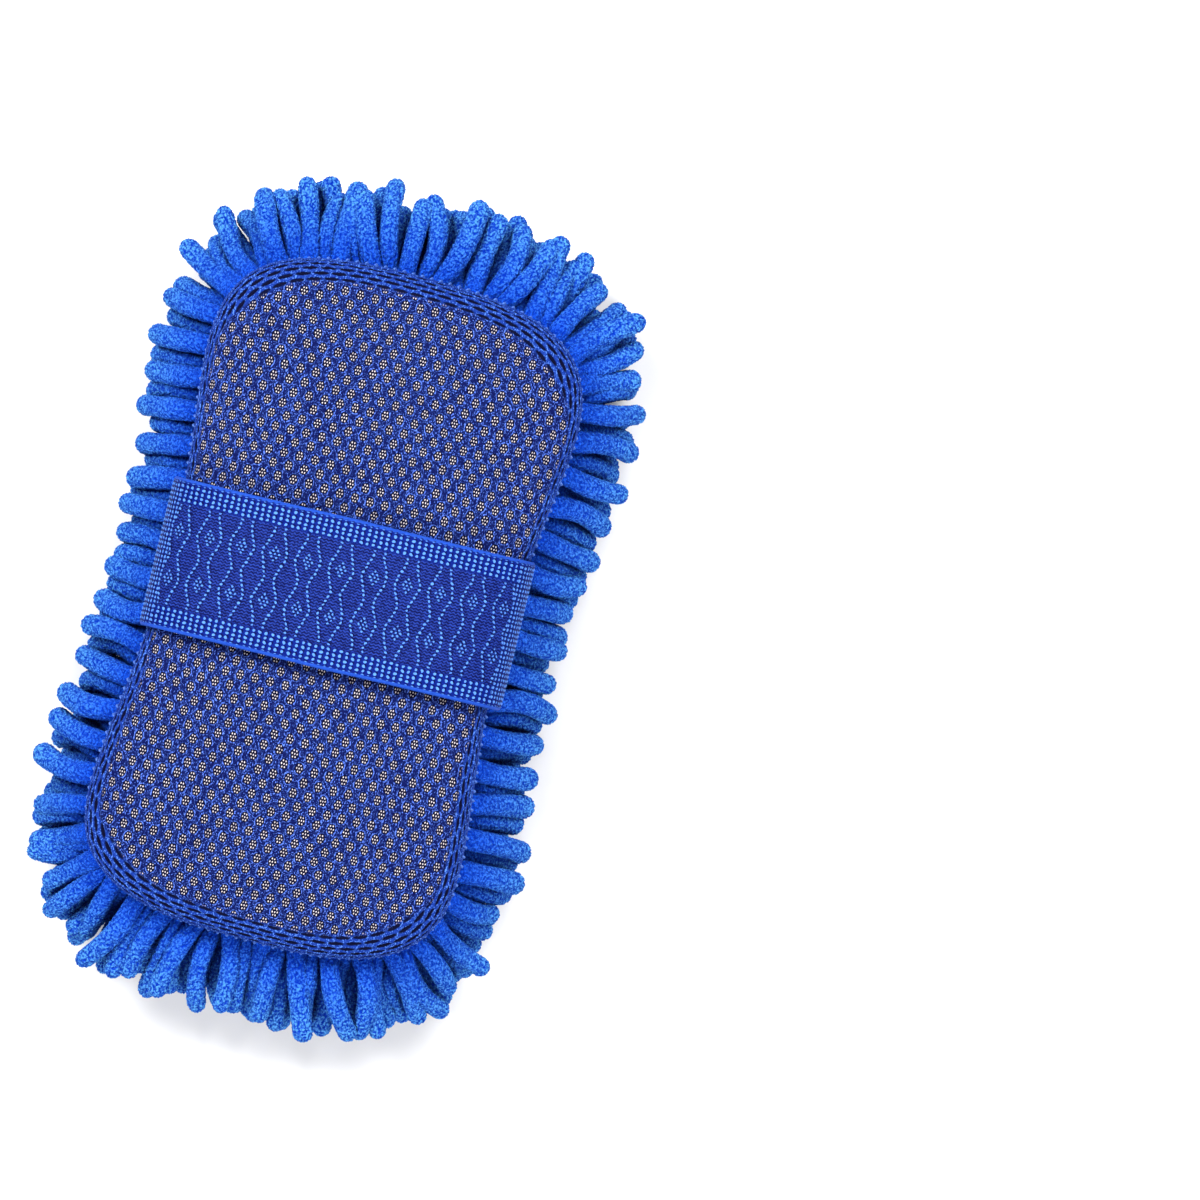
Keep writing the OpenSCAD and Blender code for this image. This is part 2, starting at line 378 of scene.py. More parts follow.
def fabric(name, profile, pitch, material, facing, relief, warp=0.0):
    """A flat cut of fabric laid over the body: square cells of that pitch where it is flat, carried
    down the profile at the rim without stretch. relief(x, y, around, depth), all in millimetres, is
    the height of its yarns. facing is 1 for a cover that looks up, -1 for one that looks down."""
    inset, z = profile
    run = walk_along(inset, z)
    reach, edge = inset[0], inset[0] - run[-1]
    across = half_width(HALF_L) - edge + pitch
    xs = np.arange(-math.ceil((HALF_L - edge) / pitch) - 1, math.ceil((HALF_L - edge) / pitch) + 2)
    ys = np.arange(-math.ceil(across / pitch), math.ceil(across / pitch) + 1)
    x, y = (a.ravel() for a in np.meshgrid(xs * pitch, ys * pitch, indexing="ij"))
    depth = inset_of(x, y)
    over = depth < edge
    cut = np.where(over, edge, depth)
    cut_x = x * (HALF_L - cut) / (HALF_L - depth)
    cut_y = y * (half_width(cut_x) - cut) / (half_width(x) - depth)
    laid = np.where(cut < reach, np.interp(reach - cut, run, inset), cut)
    height = np.interp(reach - cut, run, z)
    px = cut_x * (HALF_L - laid) / (HALF_L - cut)
    py = cut_y * (half_width(px) - laid) / (half_width(cut_x) - cut)
    shape = (len(xs), len(ys))
    place = np.stack([px, py, height], -1).reshape(*shape, 3)
    normal = unit(np.cross(np.gradient(place, axis=0), np.gradient(place, axis=1)))
    normal = normal.reshape(-1, 3) * facing
    flat_x = (cut_x + warp * waves(x, y, 5, 0.09)) / MM
    flat_y = (cut_y + warp * waves(x, y, 6, 0.11)) / MM
    share_x, share_y = cut_x / (HALF_L - cut), cut_y / (half_width(cut_x) - cut)
    turn = np.arctan2(np.sign(share_y) * np.abs(share_y) ** (CORNER_POWER / 2),
                      np.sign(share_x) * np.abs(share_x) ** (END_POWER / 2))
    t = np.linspace(-math.pi, math.pi, 1441)
    walked_mm = walk_along(*outline_at(t, 0)) / MM
    round_mm = np.interp(turn, t, walked_mm)
    points = place.reshape(-1, 3) + normal * relief(flat_x, flat_y, round_mm, cut / MM)[:, None]
    i, j = np.meshgrid(np.arange(shape[0] - 1), np.arange(shape[1] - 1), indexing="ij")
    a = (i * shape[1] + j).ravel()
    quads = np.stack([a, a + shape[1], a + shape[1] + 1, a + 1], -1)
    quads = quads[(~over[quads]).any(1)]
    if facing < 0:
        quads = quads[:, ::-1]
    used, packed = np.unique(quads, return_inverse=True)
    quads = packed.reshape(-1, 4)
    piece = add_mesh(name, points[used], quads, material)
    corner = np.zeros(len(piece.data.loops), np.int32)
    piece.data.loops.foreach_get("vertex_index", corner)
    around = round_mm[used][corner].reshape(-1, 4)
    half_round = walked_mm[-1] / 2
    wrapped = (np.ptp(around, axis=1) > half_round)[:, None] & (around < half_round)
    around = np.where(wrapped, around + walked_mm[-1], around)
    rim = np.stack([around.ravel(), (cut / MM)[used][corner], np.zeros(len(corner))], -1)
    add_values(piece, "rim", rim, "FLOAT_VECTOR", "CORNER")
    add_values(piece, "flat", np.stack([flat_x, flat_y, cut / MM], -1)[used], "FLOAT_VECTOR")
    return piece


# ---- Materials ----

class Material:
    """A Principled material that is built up node by node."""

    def __init__(self, name, roughness, **constants):
        self.made = bpy.data.materials.new(name)
        self.made.use_nodes = True
        self.tree = self.made.node_tree
        self.shader = self.tree.nodes["Principled BSDF"]
        self.shader.inputs["Roughness"].default_value = roughness
        for key, value in constants.items():
            self.shader.inputs[key.replace("_", " ")].default_value = value

    def node(self, kind, **settings):
        made = self.tree.nodes.new(kind)
        for key, value in settings.items():
            setattr(made, key, value)
        return made

    def read(self, name):
        """A stored value's three parts, and its vector."""
        held = self.node("ShaderNodeAttribute", attribute_name=name)
        parts = self.node("ShaderNodeSeparateXYZ")
        self.tree.links.new(held.outputs["Vector"], parts.inputs[0])
        return [Wire(self.tree, s) for s in parts.outputs], Wire(self.tree, held.outputs["Vector"])

    def value(self, name):
        held = self.node("ShaderNodeAttribute", attribute_name=name)
        return Wire(self.tree, held.outputs["Fac"])

    def place(self):
        return Wire(self.tree, self.node("ShaderNodeTexCoord").outputs["Object"])

    def stretched(self, vector, scale):
        mapping = self.node("ShaderNodeMapping")
        join(self.tree, vector, mapping.inputs["Vector"])
        mapping.inputs["Scale"].default_value = scale
        return Wire(self.tree, mapping.outputs["Vector"])

    def noise(self, vector, scale, detail=2.0, rough=0.5):
        made = self.node("ShaderNodeTexNoise")
        join(self.tree, vector, made.inputs["Vector"])
        for key, value in (("Scale", scale), ("Detail", detail), ("Roughness", rough)):
            made.inputs[key].default_value = value
        return Wire(self.tree, made.outputs["Fac"])

    def cells(self, vector, scale, feature="F1"):
        made = self.node("ShaderNodeTexVoronoi", feature=feature)
        join(self.tree, vector, made.inputs["Vector"])
        made.inputs["Scale"].default_value = scale
        return Wire(self.tree, made.outputs["Distance"])

    def painted_shade_occlusion(self, reach):
        """1 in the open, towards 0 deep between things that lie within reach, by ambient occlusion;
        the materials darken their colour by it, as painted shade.
        """
        made = self.node("ShaderNodeAmbientOcclusion", samples=6)
        made.inputs["Distance"].default_value = reach
        return Wire(self.tree, made.outputs["AO"])

    def blend(self, share, low, high):
        """A colour that goes from low to high."""
        made = self.node("ShaderNodeMix", data_type="RGBA", clamp_factor=True)
        join(self.tree, share, made.inputs["Factor"])
        for slot_in, value in ((made.inputs[6], low), (made.inputs[7], high)):
            join(self.tree, value if isinstance(value, Wire) else (*value, 1.0), slot_in)
        return Wire(self.tree, made.outputs[2])

    def colour(self, wire):
        join(self.tree, wire, self.shader.inputs["Base Color"])

    def bump(self, height, distance):
        made = self.node("ShaderNodeBump")
        made.inputs["Distance"].default_value = distance
        join(self.tree, height, made.inputs["Height"])
        self.tree.links.new(made.outputs["Normal"], self.shader.inputs["Normal"])


def chenille_material():
    m = Material("chenille", 0.9, Sheen_Weight=0.18, Sheen_Roughness=0.5,
                 Sheen_Tint=(0.1, 0.4, 1.0, 1.0), Specular_IOR_Level=0.04)
    lump, tip, place = m.value("lump"), m.value("tip"), m.place()
    curls = m.cells(place, 1250, "SMOOTH_F1")
    fibres = m.noise(place, 2600)
    patch = m.noise(place, 90)
    deep = m.blend(patch, (0.0, 0.02, 0.38), (0.0, 0.036, 0.52))
    # Lighter and more cyan towards the tips: partly the fibres' own lighter ends, partly painted
    # shade that keeps the roots darker.
    bright = m.blend(tip, (0.012, 0.13, 1.0), (0.12, 0.46, 1.0))
    height = lump * 0.4 + ease(curls, 0.62, 0.12) * 0.5 + (fibres - 0.5) * 0.9
    # Painted shade and highlight: the colour is darker in the creases between the curls of pile and
    # lighter on their crests, with random tone from the fibre and patch noise.
    pile = m.blend(ease(height, 0.1, 0.9), deep, bright)
    # Painted shade: the colour goes towards near black where ambient occlusion finds other fingers
    # within 14 mm, deep in the pile.
    m.colour(m.blend(ease(m.painted_shade_occlusion(14 * MM), 0.05, 0.5), (0.0, 0.008, 0.13), pile))
    m.bump(height, 0.9 * MM)
    return m.made


def mesh_material():
    m = Material("back_mesh", 0.7, Specular_IOR_Level=0.06)
    (x, y, depth), flat = m.read("flat")
    (along, rim_depth, _), _ = m.read("rim")
    hole, dip, ring = mesh_holes(x, y)
    slots = rim_slots(along, rim_depth)
    turned = rim_share(x, depth)
    loops = ease(m.cells(m.stretched(flat, (0.75, 1.2, 1)), 1.5), 0.46, 0.1)
    speck = m.noise(m.stretched(flat, (0.7, 1.2, 1)), 1.9, 1)
    light = ease(loops * 0.6 + ease(speck, 0.38, 0.62) * 0.6 + ring * 0.3, 0.45, 1.15)
    cloth = m.blend(light, (0.0, 0.003, 0.06), (0.12, 0.25, 1.0))
    # Painted shadow: near black in the dip of each cluster, between its holes.
    shaded = m.blend(dip * (1.0 - turned) * 0.95, cloth, (0.0, 0.0, 0.008))
    foam = m.blend(m.noise(flat, 0.4), (0.40, 0.34, 0.38), (0.86, 0.79, 0.82))
    holed = m.blend(hole * (1.0 - turned), shaded, foam)
    strands = m.blend(ease(light, 0.0, 0.6), (0.006, 0.03, 0.25), (0.09, 0.24, 0.85))
    # Painted shadow: the slots are near black, as the shade under the mesh where it is drawn open
    # over the rim.
    rim = m.blend(slots, strands, (0.001, 0.002, 0.02))
    cover = m.blend(turned, holed, rim)
    # Painted shade: the colour goes towards near black where ambient occlusion finds other parts
    # within 5 mm, as under the strap.
    m.colour(m.blend(ease(m.painted_shade_occlusion(5 * MM), 0.2, 0.75), (0.0, 0.002, 0.03), cover))
    m.bump(light * 0.5 - dip * 0.6 * (1.0 - turned) - slots * turned, 0.4 * MM)
    return m.made


def strap_material():
    m = Material("strap", 0.6, Specular_IOR_Level=0.05)
    (along, across, from_end), flat = m.read("flat")
    bead = strap_beads(along, across, from_end)
    edge = size_of(across)
    twill = m.noise(m.stretched(flat, (1.0, 1.5, 1)), 1.0, 1)
    zigzag = size_of(remainder(along / 1.5, 1.0) - 0.5)
    weave = ease(size_of(remainder(across + zigzag, 1.0) - 0.5) * 2.0, 0.35, 0.75)
    ground = m.blend(ease(weave * 0.7 + ease(twill, 0.4, 0.6) * 0.5, 0.2, 1.15),
                     (0.0, 0.002, 0.045), (0.015, 0.040, 0.29))
    band = ease(edge, BAND_IN_MM - 0.1, BAND_IN_MM + 0.1)
    line_rim = ease(edge, BAND_IN_MM - 0.8, BAND_IN_MM - 0.5) * 0.55
    gap = larger(larger(band, line_rim), ease(from_end, END_GRID_MM + 0.5, END_GRID_MM))
    darker = m.blend(gap, ground, m.blend(twill, (0.0, 0.002, 0.08), (0.002, 0.018, 0.24)))
    selvedge = ease(edge, BAND_OUT_MM - 0.1, BAND_OUT_MM + 0.1)
    plain = m.blend(selvedge, darker, m.blend(twill, (0.006, 0.035, 0.32), (0.022, 0.095, 0.52)))
    # Painted shadow: a copy of the bead pattern moved a little to one side and coloured near black,
    # as the beads' cast shadow.
    bead_painted_shadow = strap_beads(along + 0.45, across - 0.4, from_end)
    m.colour(m.blend(bead, m.blend(bead_painted_shadow * 0.9, plain, (0.0, 0.001, 0.04)), (0.10, 0.28, 0.88)))
    m.bump(bead + twill * 0.25, 0.4 * MM)
    return m.made


RIB_MM = 1.1                # pitch of the ribs in the knit ground


def ground_material():
    m = Material("knit_ground", 0.85, Sheen_Weight=0.1, Specular_IOR_Level=0.05)
    (x, y, _), flat = m.read("flat")
    rib = size_of(off_centre(y, RIB_MM)) * 1.8
    stitch = size_of(off_centre(x, 0.9, rounded(y / RIB_MM) * 0.5)) * 2.0
    grain = m.noise(flat, 1.8)
    # Painted shade: darker in the grooves between the ribs, where the bump sinks them, with random
    # tone from the grain noise.
    m.colour(m.blend(ease(rib + grain * 0.5, 0.3, 1.2), (0.022, 0.11, 0.72), (0.006, 0.035, 0.34)))
    m.bump((rib + stitch * 0.4) * -1.0, 0.4 * MM)
    return m.made


def thread_material():
    m = Material("seam_thread", 0.6, Specular_IOR_Level=0.15)
    twist = m.noise(m.place(), 1500)
    m.colour(m.blend(twist, (0.02, 0.08, 0.42), (0.14, 0.32, 0.95)))
    m.bump(twist, 0.2 * MM)
    return m.made


def foam_material():
    m = Material("foam", 0.95, Specular_IOR_Level=0.1)
    pores = m.cells(m.place(), 900)
    # Painted shade: darker at the middle of each pore cell, where the bump sinks it.
    m.colour(m.blend(ease(pores, 0.15, 0.6), (0.18, 0.13, 0.08), (0.82, 0.70, 0.50)))
    m.bump(pores, 0.6 * MM)
    return m.made


def floor_material():
    m = Material("floor", 0.9, Specular_IOR_Level=0.1)
    place = m.place()
    m.colour(m.blend(m.noise(place, 3.0), (0.80, 0.80, 0.80), (0.82, 0.82, 0.82)))
    parts = m.node("ShaderNodeSeparateXYZ")
    join(m.tree, place, parts.inputs[0])
    x, y = (Wire(m.tree, s) for s in parts.outputs[:2])
    m.shader.inputs["Emission Color"].default_value = (1, 1, 1, 1)
    glow = ease(root_of(x * x + y * y), 0.35, 1.0) * 0.95 + 0.08
    join(m.tree, glow, m.shader.inputs["Emission Strength"])
    return m.made


CHENILLE = chenille_material()
GROUND = ground_material()
THREAD = thread_material()
STRAP = strap_material()


# ---- Chenille fingers ----

AROUND = 44                 # points around a finger
LUMP_PITCH = 1.12 * MM
LUMP_R = 0.64 * MM
LUMP_HEIGHT = 0.62 * MM
FINGER_L = 27 * MM
STEP = 0.52 * MM            # between the rows of points along a finger
LOWER_SHARE = 0.86          # length of the fingers under the top ring, along the sides
JITTER = 0.05               # of the angles of an even finger, in radians
LOOSE_HEADING, LOOSE_SLOPE = 0.09, 0.08     # and how much more a loose one has
LOOSE_SHORTER, LOOSE_THINNER = 0.09, 0.11
FILL_ROOT_DROP, FILL_TIP_DROP = 3.2 * MM, 4.2 * MM


def finger_rows():
    """Along a straight finger: place on its axis, radius, and slope of the skin at its ends."""
    root = np.linspace(-math.pi / 2, 0, 4)[:-1] * FINGER_R
    body = np.arange(0, FINGER_L, STEP)
    tip = FINGER_L + np.linspace(0, math.pi / 2, 11) * FINGER_R
    walk = np.concatenate([root, body, tip])
    bend = np.where(walk < 0, walk, np.maximum(walk - FINGER_L, 0)) / FINGER_R
    axis = np.clip(walk, 0, FINGER_L) + FINGER_R * np.sin(bend)
    return axis, FINGER_R * np.cos(bend), bend


ROW_AXIS, ROW_RADIUS, ROW_BEND = finger_rows()
ROW_COUNT = len(ROW_AXIS)
TURNS = np.arange(AROUND) / AROUND * math.tau


def lump_height(seed):
    """0 in the creases to 1 on the curls of pile, over a straight finger's skin."""
    rng = np.random.default_rng(seed)
    curls = []
    for walk in np.arange(-3 * MM, FINGER_L + FINGER_R * math.pi / 2, LUMP_PITCH * 0.88):
        bend = (max(walk - FINGER_L, 0) + min(walk, 0)) / FINGER_R
        radius = FINGER_R * math.cos(bend)
        count = max(1, round(math.tau * radius / LUMP_PITCH))
        turn = np.arange(count) + rng.uniform(-0.35, 0.35, count) + rng.uniform()
        turn *= math.tau / count
        axis = min(max(walk, 0), FINGER_L) + FINGER_R * math.sin(bend)
        axis = axis + rng.normal(0, 0.17 * MM, count)
        curls.append(np.stack([axis, radius * np.cos(turn), radius * np.sin(turn)], -1))
    curls = np.concatenate(curls)
    skin = np.stack([np.repeat(ROW_AXIS, AROUND), (ROW_RADIUS[:, None] * np.cos(TURNS)).ravel(),
                     (ROW_RADIUS[:, None] * np.sin(TURNS)).ravel()], -1)
    away = np.sqrt(((skin[:, None, :] - curls[None, :, :]) ** 2).sum(-1)).min(1)
    height = np.clip(1 - (away / LUMP_R) ** 2, 0, 1)
    return height.reshape(ROW_COUNT, AROUND)


LUMPS = [lump_height(seed) for seed in range(6)]


def islands(node):
    """The separate fingers of a CAD node, each as its points."""
    mesh = nodes[node].data
    points = points_of(mesh)
    edges = np.zeros(len(mesh.edges) * 2, np.int32)
    mesh.edges.foreach_get("vertices", edges)
    grid = np.round(points / (0.01 * MM)).astype(np.int64)
    _, welded = np.unique(grid, axis=0, return_inverse=True)
    welded = welded.ravel()
    pairs = welded[edges.reshape(-1, 2)]
    label = np.arange(welded.max() + 1)
    while True:
        least = np.minimum(label[pairs[:, 0]], label[pairs[:, 1]])
        fresh = label.copy()
        np.minimum.at(fresh, pairs[:, 0], least)
        np.minimum.at(fresh, pairs[:, 1], least)
        fresh = fresh[fresh]
        if (fresh == label).all():
            break
        label = fresh
    owner = label[welded]
    return [points[owner == k] for k in np.unique(owner)]


def finger_axis(points):
    """(centre of the root's round end, centre of the tip's): the root is the higher of the two."""
    centre = (points.min(0) + points.max(0)) / 2
    way = np.linalg.svd(points - points.mean(0), full_matrices=False)[2][0]
    reach = (points - centre) @ way
    half = (reach.max() - reach.min()) / 2 - FINGER_R
    middle = centre + way * (reach.max() + reach.min()) / 2
    ends = [middle - way * half, middle + way * half]
    return sorted(ends, key=lambda p: -p[2])


def around_line(left, up, turns):
    """The ways out from each point of a line, at those angles."""
    return (left[:, None, :] * np.cos(turns)[None, :, None]
            + up[:, None, :] * np.sin(turns)[None, :, None])


def bent_finger(root, tip, rng, loose, share_of_length):
    """Points and stored values of one finger that leaves its root straighter and then droops."""
    chord = tip - root
    heading = math.atan2(chord[1], chord[0]) + rng.normal(0, JITTER + LOOSE_HEADING * loose)
    length = np.linalg.norm(chord)
    slope = math.asin(-chord[2] / length) + rng.normal(0, JITTER + LOOSE_SLOPE * loose)
    length = length * rng.uniform(0.93 - LOOSE_SHORTER * loose, 1.07) * share_of_length
    flat = math.cos(slope)
    way = np.array([flat * math.cos(heading), flat * math.sin(heading), -math.sin(slope)])
    side = np.array([-math.sin(heading), math.cos(heading), 0])
    above = np.cross(way, side)
    if above[2] < 0:
        above = -above
    bow = rng.uniform(0.4, 2.6) * MM if loose < 0.5 else rng.normal(0.6, 1.8) * MM
    sway = rng.normal(0, 1.1) * MM
    t = (ROW_AXIS / FINGER_L)[:, None]
    line = root + way * length * t + above * bow * 4 * t * (1 - t)
    line += side * sway * np.sin(math.pi * t)
    line[:, 2] = np.maximum(line[:, 2], FINGER_R * 1.04)
    ahead = unit(np.gradient(line, axis=0) + 1e-9 * way)
    ahead[0], ahead[-1] = ahead[1], ahead[-2]
    left = unit(np.cross(ahead, above))
    up = np.cross(left, ahead)
    plump = rng.uniform(0.94, 1.05) - LOOSE_THINNER * loose
    lumps = np.roll(LUMPS[rng.integers(len(LUMPS))], rng.integers(AROUND), axis=1)
    if rng.uniform() < 0.5:
        lumps = lumps[:, ::-1]
    out = around_line(left, up, TURNS)
    slant = ROW_BEND[:, None, None]
    swell = 1 + 0.04 * np.sin(ROW_AXIS / MM * rng.uniform(0.15, 0.4) + rng.uniform(0, 6))
    skin = line[:, None, :] + out * (ROW_RADIUS * plump * swell)[:, None, None]
    raised = (lumps * LUMP_HEIGHT)[:, :, None] - 0.5 * LUMP_HEIGHT
    skin = skin + (out * np.cos(slant) + ahead[:, None, :] * np.sin(slant)) * raised
    skin[:, :, 2] = np.maximum(skin[:, :, 2], 0.05 * MM)
    share = np.broadcast_to(np.clip(ROW_AXIS / FINGER_L, 0, 1)[:, None], lumps.shape)
    return skin.reshape(-1, 3), lumps.ravel(), share.ravel()


def add_fingers(name, node, axes, seed, loose, at_sides=1.0):
    """One piece of pile: a bent finger on each of those axes. It stands for that CAD node, if any,
    and at_sides is how long its fingers are along the sides of the mitt."""
    rng = np.random.default_rng(seed)
    points, lumps, shares, faces = [], [], [], []
    one = strip_faces(ROW_COUNT, AROUND)
    for k, (root, tip) in enumerate(axes):
        free = loose(root)
        skin, lump, share = bent_finger(root, tip, rng, free, at_sides + (1 - at_sides) * free)
        points.append(skin)
        lumps.append(lump)
        shares.append(share)
        faces.append(one + k * len(skin))
    piece = add_mesh(name, np.concatenate(points), np.concatenate(faces)[:, ::-1], CHENILLE)
    add_values(piece, "lump", np.concatenate(lumps))
    add_values(piece, "tip", np.concatenate(shares))
    if node:
        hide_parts(node)
    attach(piece, "root")


def fringe_loose(root):
    """Fingers at the ends lie less evenly than those along the sides."""
    return float(np.clip((abs(root[0]) - 70 * MM) / (30 * MM), 0, 1))


def front_loose(root):
    """Every finger of the front is loose."""
    return 1.0


def fill_ends(ring, axes):
    """Fingers between those of a ring, which close the fringe at the ends of the mitt."""
    axes = sorted(axes, key=lambda a: math.atan2(a[0][1], a[0][0]))
    between = []
    for (root, tip), (next_root, next_tip) in zip(axes, axes[1:] + axes[:1]):
        middle = (root + next_root) / 2 - [0, 0, FILL_ROOT_DROP]
        if fringe_loose(middle) > 0.7:
            between.append((middle, (tip + next_tip) / 2 - [0, 0, FILL_TIP_DROP]))
    for side, name in ((1, "far"), (-1, "near")):
        ends = [a for a in between if a[0][0] * side > 0]
        add_fingers(f"end_fill_{ring}_{name}", None, ends, 50 + 2 * ring + side, front_loose)


def make_pile():
    """All the fingers, with each ring split into its two sides so that no piece is too large."""
    for ring in (1, 2, 3):
        shared = [f"fringe_ring_{ring}"] + (["edge_tufts"] if ring == 1 else [])
        fill_ends(ring, [finger_axis(p) for node in shared for p in islands(node)])
    of_fingers = sorted(n for n in nodes if "ring" in n or "row" in n or "tufts" in n)
    for place, node in enumerate(of_fingers):
        axes = [finger_axis(p) for p in islands(node)]
        if "ring" in node:
            for side, name in ((1, "left"), (-1, "right")):
                half = [a for a in axes if a[0][1] * side > 0]
                at_sides = 1.0 if node == "fringe_ring_1" else LOWER_SHARE
                seed = 100 + 2 * place + (side > 0)
                add_fingers(f"{node}_{name}", node, half, seed, fringe_loose, at_sides)
        else:
            loose = fringe_loose if node == "edge_tufts" else front_loose
            add_fingers(f"{node}_pile", node, axes, 100 + 2 * place, loose)


# ---- Covers and seam ----

def mesh_relief(x, y, around, depth):
    _, dip, _ = mesh_holes(x, y)
    turned = rim_share(x, depth)
    slots = rim_slots(around, depth)
    bulge = waves(x * MM, y * MM, 9, 0.07) * 0.25 + waves(x * MM, y * MM, 10, 0.02) * 0.06
    return (bulge - 0.32 * dip * (1 - turned) - 0.6 * slots * turned) * MM


def ground_relief(x, y, around, depth):
    ribs = np.abs(off_centre(y, RIB_MM)) * 2
    return (waves(x * MM, y * MM, 11, 0.03) * 0.3 - 0.12 * ribs) * MM


def tube(line, radius, sides):
    """Points and faces of a round cord along a line of points that closes on itself."""
    ahead = unit(np.roll(line, -1, 0) - np.roll(line, 1, 0))
    left = unit(np.cross(ahead, [0.0, 0.0, 1.0]) + 1e-9)
    out = around_line(left, np.cross(left, ahead), np.arange(sides) / sides * math.tau)
    skin = line[:, None, :] + radius * out
    return skin.reshape(-1, 3), strip_faces(len(line) + 1, sides) % (len(line) * sides)


SEAM_ROWS, SEAM_SIDES = 640, 16
STITCH_PITCH, STITCH_STEPS = 3.1 * MM, 16
THREAD_R, THREAD_SIDES = 0.36 * MM, 7


def seam_line(count):
    """(points along the middle of the seam, its length)"""
    points, length = even_outline(LIP / 2, count)
    return np.column_stack([points, np.full(count, SEAM_Z - SEAM_DROP)]), length


def make_seam():
    line, length = seam_line(SEAM_ROWS)
    roll = add_mesh("seam_roll", *tube(line, SEAM_R * 0.94, SEAM_SIDES), GROUND)
    around = np.repeat(np.arange(SEAM_ROWS) * length / SEAM_ROWS / MM, SEAM_SIDES)
    height = np.tile(np.arange(SEAM_SIDES) * 0.85, SEAM_ROWS)
    add_values(roll, "flat", np.stack([around, height, height * 0], -1), "FLOAT_VECTOR")
    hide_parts("edge_seam")
    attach(roll, "root")
    line, _ = seam_line(round(length / STITCH_PITCH) * STITCH_STEPS)
    outward = unit(np.cross(np.roll(line, -1, 0) - np.roll(line, 1, 0), [0.0, 0.0, 1.0]))
    wind = np.arange(len(line)) / STITCH_STEPS * math.tau
    reach = SEAM_R + 0.30 * MM
    coil = line + outward * (np.cos(wind) * reach)[:, None]
    coil[:, 2] += np.sin(wind) * reach * 1.12
    stitches = add_mesh("overlock_stitches", *tube(coil, THREAD_R, THREAD_SIDES), THREAD)
    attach(stitches, "root")


# ---- Foam pad ----

SWELL_MOST = 2.2 * MM
FOAM_SHARE, FOAM_RISE, FOAM_CELL = 0.985, 0.4 * MM, 4.5 * MM
PRESSURE, CLOTH_FRAMES = 4, 20


def applied(piece):
    """Applies the piece's modifiers, and gives its points."""
    shown = piece.evaluated_get(bpy.context.evaluated_depsgraph_get())
    made = bpy.data.meshes.new_from_object(shown)
    piece.modifiers.clear()
    piece.data = made
    return points_of(made)


def is_held(points):
    """Where the foam can't swell: under the strap, and from just above the seam down."""
    under_strap = np.abs(points[:, 0] - STRAP_X) < STRAP_W * 0.42
    return under_strap | (points[:, 2] < SEAM_Z + 5 * MM)


def make_foam():
    """The foam pad, swollen as cloth on both sides of the strap: (where its points were, how far
    each one moved)."""
    pad = bpy.data.objects.new("foam_pad", nodes["foam_core"].data.copy())
    bpy.context.scene.collection.objects.link(pad)
    shrink = Matrix.Diagonal((FOAM_SHARE, FOAM_SHARE, FOAM_SHARE, 1))
    pad.data.transform(shrink @ Matrix.Translation((0, 0, FOAM_RISE)))
    remesh = pad.modifiers.new("remesh", "REMESH")
    remesh.mode, remesh.voxel_size = "VOXEL", FOAM_CELL
    before = applied(pad)
    moved = np.zeros_like(before)
    held = pad.vertex_groups.new(name="held")
    held.add([int(i) for i in np.flatnonzero(is_held(before))], 1.0, "REPLACE")
    cloth = pad.modifiers.new("cloth", "CLOTH")
    cloth.settings.use_pressure = True
    cloth.settings.uniform_pressure_force = PRESSURE
    cloth.settings.vertex_group_mass = "held"
    cloth.settings.effector_weights.gravity = 0
    cloth.point_cache.frame_end = CLOTH_FRAMES
    for step in range(1, CLOTH_FRAMES + 1):
        bpy.context.scene.frame_set(step)
    moved = applied(pad) - before
    bpy.context.scene.frame_set(1)
    size = np.linalg.norm(moved, axis=1, keepdims=True)
    moved *= SWELL_MOST * np.tanh(size / SWELL_MOST) / np.maximum(size, 1e-9)
    pad.data.vertices.foreach_set("co", (before + moved).astype(np.float32).ravel())
    pad.vertex_groups.clear()
    pad.modifiers.new("smoother", "SUBSURF").levels = 1
    applied(pad)
    pad.data.materials.clear()
    pad.data.materials.append(foam_material())
    pad.data.polygons.foreach_set("use_smooth", np.ones(len(pad.data.polygons), bool))
    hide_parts("foam_core")
    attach(pad, "root")
    return before, moved


def follow_foam(piece, before, moved):
    """The cover goes out with the foam beneath it."""
    tree = KDTree(len(before))
    for i, point in enumerate(before):
        tree.insert(point, i)
    tree.balance()
    mesh = piece.data
    points = points_of(mesh)
    for i in np.flatnonzero(points[:, 2] > SEAM_Z + 4 * MM):
        near = tree.find_n(points[i], 6)
        weight = np.array([1 / (away + 1 * MM) ** 2 for _, _, away in near])
        points[i] += weight @ moved[[k for _, k, _ in near]] / weight.sum()
    mesh.vertices.foreach_set("co", points.astype(np.float32).ravel())
    mesh.update()


# ---- Strap ----

STRAP_CELL = 0.42 * MM
EDGE_MM = 0.9               # how far in its rounded edge reaches
BEAD_HEIGHT = 0.25 * MM


def strap_place(angle, lift):
    """A point (y, z) of the strap's arch, lift above its middle surface."""
    high = STRAP_TOP - STRAP_T / 2 - SEAM_Z
    return ((STRAP_HALF + lift) * power_of(np.cos(angle), CROWN_POWER),
            SEAM_Z + (high + lift) * power_of(np.sin(angle), CROWN_POWER))


